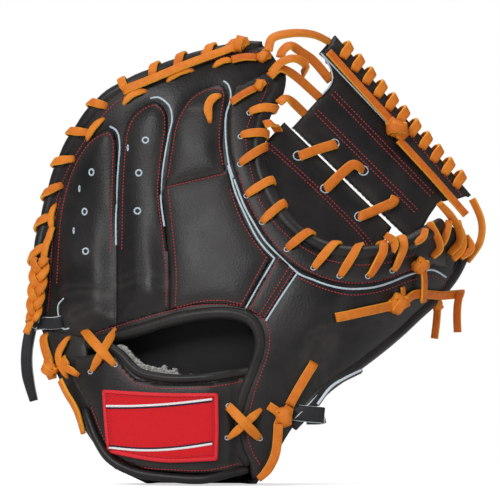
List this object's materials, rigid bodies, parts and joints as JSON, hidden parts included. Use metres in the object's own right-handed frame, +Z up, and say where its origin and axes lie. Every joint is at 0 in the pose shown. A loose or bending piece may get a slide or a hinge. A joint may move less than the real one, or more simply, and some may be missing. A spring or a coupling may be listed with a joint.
{
  "type": "baseball catcher's mitt",
  "caption": "Left-hand baseball catcher's mitt in black leather with orange laces, a padded pocket, laced web, wrist strap and a heel that folds.",
  "frame": {"origin": "on the flat underside of the heel, near the heel break", "axes": "+Z up from the heel to the finger tips, +X towards the thumb, -Y out of the back of the hand, +Y out of the pocket"},
  "size_m": [0.2987, 0.117, 0.2899],
  "materials": {
    "black_leather": "semi-matt",
    "lace_leather": "semi-matt",
    "tie_leather": "matt",
    "lining_leather": "matt",
    "label_fabric": "embroidered",
    "fleece": "pile",
    "padding": "felt",
    "pale_welt": "satin"
  },
  "bodies": {
    "finger_side": {"back_field": "black_leather", "crotch_band_finger": "black_leather", "crotch_laces_finger": "lace_leather", "crotch_roll_finger": "black_leather", "divider_strip": "black_leather", "finger_knots": "lace_leather", "finger_pad": "padding", "finger_web_laces": "lace_leather", "hand_lining": "lining_leather", "heel_flap": "black_leather", "heel_knot": "lace_leather", "heel_lace_cross": "lace_leather", "heel_lace_tail": "lace_leather", "heel_pad": "padding", "index_pad_panel": "black_leather", "label_patch": "label_fabric", "little_finger_stall": "black_leather", "little_finger_tail": "tie_leather", "little_finger_tie": "tie_leather", "middle_finger_knot": "lace_leather", "middle_finger_stall": "black_leather", "opening_binding": "black_leather", "palm_leather_finger": "black_leather", "rim_lace": "lace_leather", "rim_roll": "black_leather", "ring_finger_stall": "black_leather", "side_knot": "lace_leather", "side_lace": "lace_leather", "side_lace_tail": "lace_leather", "stall_welts": "pale_welt", "strap_fleece": "fleece", "strap_foot_binding": "black_leather", "strap_lace_left": "lace_leather", "strap_top_binding": "black_leather", "top_lace": "lace_leather", "web_cross_laces_finger": "lace_leather", "web_edge_lace_finger": "lace_leather", "web_inner_finger": "black_leather", "web_outer_finger": "black_leather", "web_straight_lace": "lace_leather", "wrist_strap": "black_leather"},
    "thumb_side": {"crotch_band_thumb": "black_leather", "crotch_laces_thumb": "lace_leather", "crotch_roll_thumb": "black_leather", "crotch_welt_thumb": "pale_welt", "palm_leather_thumb": "black_leather", "thumb_back_panel": "black_leather", "thumb_lace": "lace_leather", "thumb_lining": "lining_leather", "thumb_pad": "padding", "thumb_rim_lace": "lace_leather", "thumb_rim_roll": "black_leather", "thumb_tie": "tie_leather", "thumb_tip_knot": "lace_leather", "thumb_tip_lacing": "lace_leather", "web_cross_lace_thumb": "lace_leather", "web_edge_lace_thumb": "lace_leather", "web_inner_thumb": "black_leather", "web_loop_lace": "lace_leather", "web_outer_thumb": "black_leather"}
  },
  "joints": [
    {"name": "mitt_close", "type": "hinge", "parent": "finger_side", "child": "thumb_side", "pos_m": [0.012, -0.02, 0], "axis": [0.3395, 0.1216, 0.9327], "range_deg": [-4, 28]}
  ]
}
